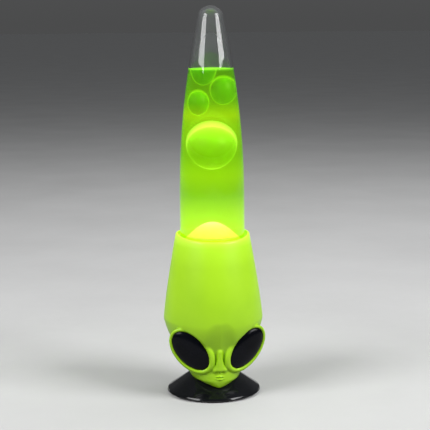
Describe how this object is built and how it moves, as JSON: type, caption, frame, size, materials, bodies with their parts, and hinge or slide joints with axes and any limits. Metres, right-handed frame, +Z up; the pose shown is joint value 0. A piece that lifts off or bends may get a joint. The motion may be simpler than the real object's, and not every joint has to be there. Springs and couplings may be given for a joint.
{
  "type": "lava lamp",
  "caption": "Lit lava lamp: a bullet-shaped glass bottle of green liquid and wax stands in a lime alien-head shell over a reflector bulb, on a flared black base.",
  "frame": {"origin": "on the table, under the axis of the bottle", "axes": "+Z up along the bottle's axis; the face looks to -Y; +X is the viewer's right when facing it"},
  "size_m": [0.1032, 0.103, 0.4],
  "materials": {
    "base_black": "glossy black moulded plastic",
    "plate_black": "fine-textured black plastic",
    "foot_rubber": "soft matt rubber",
    "fastener_steel": "zinc-plated steel",
    "grommet_rubber": "black rubber bush",
    "head_lime": "satin lime-green moulded plastic, glowing a little from within",
    "eye_black": "polished black",
    "frame_steel": "plated sheet steel",
    "pad_silicone": "grey heat-proof silicone",
    "holder_ceramic": "white glazed porcelain",
    "contact_brass": "bright brass",
    "bulb_glass": "reflector bulb glass, silvered cone and frosted crown",
    "bulb_cap_metal": "nickel-plated screw cap",
    "clear_glass": "clear blown glass",
    "cap_metal": "satin aluminium screw cap",
    "gasket_rubber": "red-brown rubber gasket",
    "coil_wire": "bright spring wire",
    "liquid_green": "clear lime-green liquid, lit from below",
    "wax_bright": "molten wax, brightly lit by the bulb",
    "wax_green": "translucent green wax"
  },
  "bodies": {
    "stand": {"base_skirt": "base_black", "base_plate": "plate_black", "rubber_feet": "foot_rubber", "plate_screws": "fastener_steel", "cord_grommet": "grommet_rubber", "head_front": "head_lime", "head_back": "head_lime", "shell_screws": "fastener_steel", "left_eye": "eye_black", "right_eye": "eye_black", "frame_plate": "frame_steel", "frame_posts": "frame_steel", "seat_ring": "frame_steel", "seat_pad": "pad_silicone", "base_bolts": "fastener_steel", "lamp_holder": "holder_ceramic", "socket_shell": "contact_brass", "holder_contact": "contact_brass", "holder_screws": "fastener_steel"},
    "bulb": {"bulb_glass": "bulb_glass", "bulb_cap": "bulb_cap_metal"},
    "bottle": {"glass_bottle": "clear_glass", "neck_cap": "cap_metal", "cap_gasket": "gasket_rubber", "heating_coil": "coil_wire", "lamp_liquid": "liquid_green", "wax_mound": "wax_bright", "wax_hanging": "wax_green"},
    "wax_large": {"wax_blob_large": "wax_green"},
    "wax_left": {"wax_blob_left": "wax_green"},
    "wax_right": {"wax_blob_right": "wax_green"}
  },
  "joints": [
    {"name": "bottle_lift", "type": "slide", "parent": "stand", "child": "bottle", "axis": [0, 0, 1], "range_m": [0, 0.09]},
    {"name": "bulb_turn", "type": "hinge", "parent": "stand", "child": "bulb", "pos_m": [0, 0, 0.05], "axis": [0, 0, 1], "range_deg": [0, 1440]},
    {"name": "wax_sink", "type": "slide", "parent": "bottle", "child": "wax_large", "axis": [0, 0, 1], "range_m": [-0.05, 0], "deforming": ["lamp_liquid"]},
    {"name": "wax_left_sink", "type": "slide", "parent": "bottle", "child": "wax_left", "axis": [0, 0, 1], "range_m": [-0.05, 0], "deforming": ["lamp_liquid"]},
    {"name": "wax_right_sink", "type": "slide", "parent": "bottle", "child": "wax_right", "axis": [0, 0, 1], "range_m": [-0.05, 0], "deforming": ["lamp_liquid"]}
  ],
  "couplings": [
    {"joint": "wax_left_sink", "follows": "wax_sink", "ratio": 1},
    {"joint": "wax_right_sink", "follows": "wax_sink", "ratio": 1}
  ]
}
